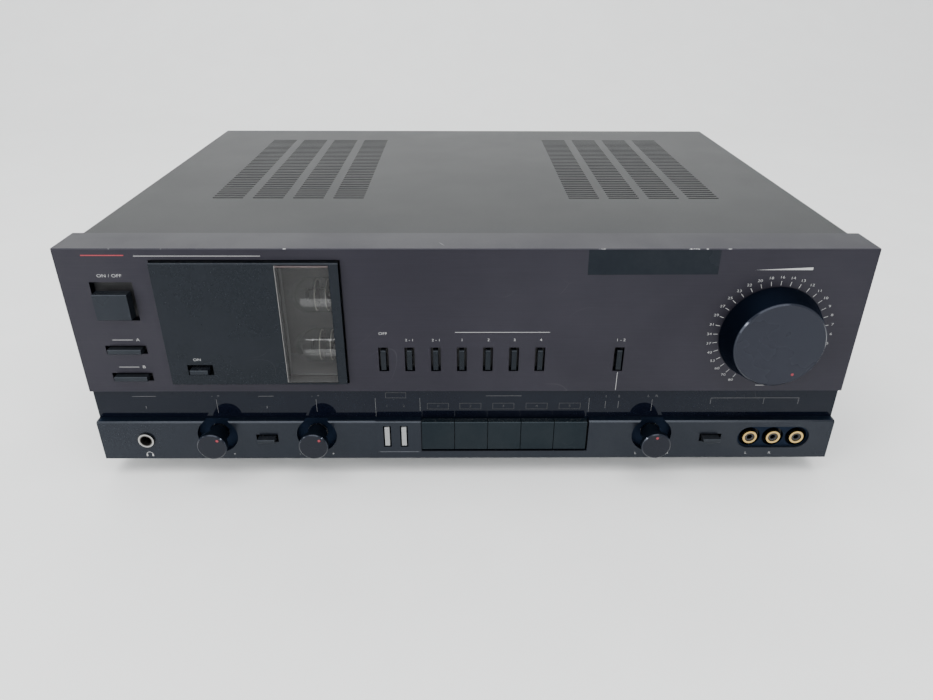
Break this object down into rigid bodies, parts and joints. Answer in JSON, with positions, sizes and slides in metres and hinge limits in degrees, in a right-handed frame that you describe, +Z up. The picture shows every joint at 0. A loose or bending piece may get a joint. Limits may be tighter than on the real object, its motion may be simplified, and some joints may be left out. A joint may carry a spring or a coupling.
{
  "type": "hybrid stereo integrated amplifier",
  "caption": "Full-width stereo integrated amplifier: steel case with slotted cover, two-level front with tube window, push buttons, keys, large volume knob and small turning controls.",
  "frame": {"origin": "middle of the overall box on X and Y, at the feet's undersides", "axes": "+X to the right along the front, +Y from the front into the depth, +Z up"},
  "size_m": [0.438, 0.342, 0.1454],
  "materials": {
    "plated_steel": "zinc-plated sheet",
    "foot_rubber": "moulded matt",
    "screw_steel": "blackened",
    "black_steel": "satin black paint",
    "cover_paint": "fine-textured grey paint",
    "fascia_finish": "fine-brushed, dark anodised",
    "smoked_acrylic": "polished",
    "clear_acrylic": "polished, lightly smoked",
    "lower_panel_gloss": "semi-gloss moulding",
    "strip_acrylic": "mirror-polished black",
    "lamp_plastic": "tinted",
    "tube_glass": "clear blown glass",
    "electrode_metal": "carbonised plates and mica",
    "ceramic": "glazed",
    "core_iron": "varnished laminations",
    "winding_copper": "taped copper winding",
    "heatsink_alloy": "black anodised extrusion",
    "black_moulding": "moulded",
    "capacitor_sleeve": "shrunk sleeve",
    "board_laminate": "paper laminate with solder mask",
    "control_metal": "turned and pressed",
    "switch_moulding": "moulded",
    "bright_nickel": "bright plate",
    "gold_plate": "gold flash",
    "knob_plastic": "satin face, gloss black side",
    "white_key": "moulded white",
    "key_gloss": "semi-gloss moulding",
    "button_plastic": "satin moulding"
  },
  "bodies": {
    "chassis": {"chassis_base": "plated_steel", "feet": "foot_rubber", "case_screws": "screw_steel", "front_subpanel": "black_steel", "rear_panel": "black_steel", "top_cover": "cover_paint", "fascia": "fascia_finish", "smoked_panel": "smoked_acrylic", "tube_window": "clear_acrylic", "lower_panel": "lower_panel_gloss", "indicator_strip": "strip_acrylic", "indicator_lamps": "lamp_plastic", "tube_glass": "tube_glass", "tube_electrodes": "electrode_metal", "tube_sockets": "ceramic", "tube_can": "plated_steel", "transformer_core": "core_iron", "transformer_winding": "winding_copper", "heatsink": "heatsink_alloy", "output_transistors": "black_moulding", "filter_capacitors": "capacitor_sleeve", "amplifier_board": "board_laminate", "control_boards": "board_laminate", "potentiometers": "control_metal", "push_switches": "switch_moulding", "phones_socket": "bright_nickel", "front_jacks": "gold_plate", "rear_jacks": "gold_plate", "speaker_posts": "black_moulding", "ground_post": "bright_nickel", "cord_gland": "black_moulding"},
    "power_button": {"power_button": "button_plastic"},
    "speaker_a_button": {"speaker_a_button": "button_plastic"},
    "speaker_b_button": {"speaker_b_button": "button_plastic"},
    "preheat_button": {"preheat_button": "button_plastic"},
    "rec_button_1": {"rec_button_1": "button_plastic"},
    "rec_button_2": {"rec_button_2": "button_plastic"},
    "rec_button_3": {"rec_button_3": "button_plastic"},
    "rec_button_4": {"rec_button_4": "button_plastic"},
    "rec_button_5": {"rec_button_5": "button_plastic"},
    "rec_button_6": {"rec_button_6": "button_plastic"},
    "rec_button_7": {"rec_button_7": "button_plastic"},
    "cartridge_button": {"cartridge_button": "button_plastic"},
    "tone_button": {"tone_button": "button_plastic"},
    "video_button_1": {"video_button_1": "white_key"},
    "video_button_2": {"video_button_2": "white_key"},
    "source_button": {"source_button": "button_plastic"},
    "input_key_1": {"input_key_1": "key_gloss"},
    "input_key_2": {"input_key_2": "key_gloss"},
    "input_key_3": {"input_key_3": "key_gloss"},
    "input_key_4": {"input_key_4": "key_gloss"},
    "input_key_5": {"input_key_5": "key_gloss"},
    "volume": {"volume_knob": "knob_plastic", "volume_shaft": "control_metal"},
    "bass": {"bass_knob": "knob_plastic", "bass_shaft": "control_metal"},
    "treble": {"treble_knob": "knob_plastic", "treble_shaft": "control_metal"},
    "balance": {"balance_knob": "knob_plastic", "balance_shaft": "control_metal"}
  },
  "joints": [
    {"name": "power_press", "type": "slide", "parent": "chassis", "child": "power_button", "axis": [0, 1, 0], "range_m": [0, 0.0036], "stiffness_N_per_m": 500},
    {"name": "speaker_a_press", "type": "slide", "parent": "chassis", "child": "speaker_a_button", "axis": [0, 1, 0], "range_m": [0, 0.002], "stiffness_N_per_m": 300},
    {"name": "speaker_b_press", "type": "slide", "parent": "chassis", "child": "speaker_b_button", "axis": [0, 1, 0], "range_m": [0, 0.002], "stiffness_N_per_m": 300},
    {"name": "preheat_press", "type": "slide", "parent": "chassis", "child": "preheat_button", "axis": [0, 1, 0], "range_m": [0, 0.002], "stiffness_N_per_m": 300},
    {"name": "rec_1_press", "type": "slide", "parent": "chassis", "child": "rec_button_1", "axis": [0, 1, 0], "range_m": [0, 0.002], "stiffness_N_per_m": 300},
    {"name": "rec_2_press", "type": "slide", "parent": "chassis", "child": "rec_button_2", "axis": [0, 1, 0], "range_m": [0, 0.002], "stiffness_N_per_m": 300},
    {"name": "rec_3_press", "type": "slide", "parent": "chassis", "child": "rec_button_3", "axis": [0, 1, 0], "range_m": [0, 0.002], "stiffness_N_per_m": 300},
    {"name": "rec_4_press", "type": "slide", "parent": "chassis", "child": "rec_button_4", "axis": [0, 1, 0], "range_m": [0, 0.002], "stiffness_N_per_m": 300},
    {"name": "rec_5_press", "type": "slide", "parent": "chassis", "child": "rec_button_5", "axis": [0, 1, 0], "range_m": [0, 0.002], "stiffness_N_per_m": 300},
    {"name": "rec_6_press", "type": "slide", "parent": "chassis", "child": "rec_button_6", "axis": [0, 1, 0], "range_m": [0, 0.002], "stiffness_N_per_m": 300},
    {"name": "rec_7_press", "type": "slide", "parent": "chassis", "child": "rec_button_7", "axis": [0, 1, 0], "range_m": [0, 0.002], "stiffness_N_per_m": 300},
    {"name": "cartridge_press", "type": "slide", "parent": "chassis", "child": "cartridge_button", "axis": [0, 1, 0], "range_m": [0, 0.002], "stiffness_N_per_m": 300},
    {"name": "tone_press", "type": "slide", "parent": "chassis", "child": "tone_button", "axis": [0, 1, 0], "range_m": [0, 0.002], "stiffness_N_per_m": 300},
    {"name": "video_1_press", "type": "slide", "parent": "chassis", "child": "video_button_1", "axis": [0, 1, 0], "range_m": [0, 0.002], "stiffness_N_per_m": 300},
    {"name": "video_2_press", "type": "slide", "parent": "chassis", "child": "video_button_2", "axis": [0, 1, 0], "range_m": [0, 0.002], "stiffness_N_per_m": 300},
    {"name": "source_press", "type": "slide", "parent": "chassis", "child": "source_button", "axis": [0, 1, 0], "range_m": [0, 0.002], "stiffness_N_per_m": 300},
    {"name": "key_1_press", "type": "slide", "parent": "chassis", "child": "input_key_1", "axis": [0, 1, 0], "range_m": [0, 0.002], "stiffness_N_per_m": 300},
    {"name": "key_2_press", "type": "slide", "parent": "chassis", "child": "input_key_2", "axis": [0, 1, 0], "range_m": [0, 0.002], "stiffness_N_per_m": 300},
    {"name": "key_3_press", "type": "slide", "parent": "chassis", "child": "input_key_3", "axis": [0, 1, 0], "range_m": [0, 0.002], "stiffness_N_per_m": 300},
    {"name": "key_4_press", "type": "slide", "parent": "chassis", "child": "input_key_4", "axis": [0, 1, 0], "range_m": [0, 0.002], "stiffness_N_per_m": 300},
    {"name": "key_5_press", "type": "slide", "parent": "chassis", "child": "input_key_5", "axis": [0, 1, 0], "range_m": [0, 0.002], "stiffness_N_per_m": 300},
    {"name": "volume_turn", "type": "hinge", "parent": "chassis", "child": "volume", "pos_m": [0.1697, -0.156, 0.095], "axis": [0, 1, 0], "range_deg": [-300, 0]},
    {"name": "bass_turn", "type": "hinge", "parent": "chassis", "child": "bass", "pos_m": [-0.1488, -0.156, 0.0287], "axis": [0, 1, 0], "range_deg": [-180, 100]},
    {"name": "treble_turn", "type": "hinge", "parent": "chassis", "child": "treble", "pos_m": [-0.0898, -0.156, 0.0287], "axis": [0, 1, 0], "range_deg": [-180, 100]},
    {"name": "balance_turn", "type": "hinge", "parent": "chassis", "child": "balance", "pos_m": [0.1106, -0.156, 0.0287], "axis": [0, 1, 0], "range_deg": [-140, 140]}
  ]
}
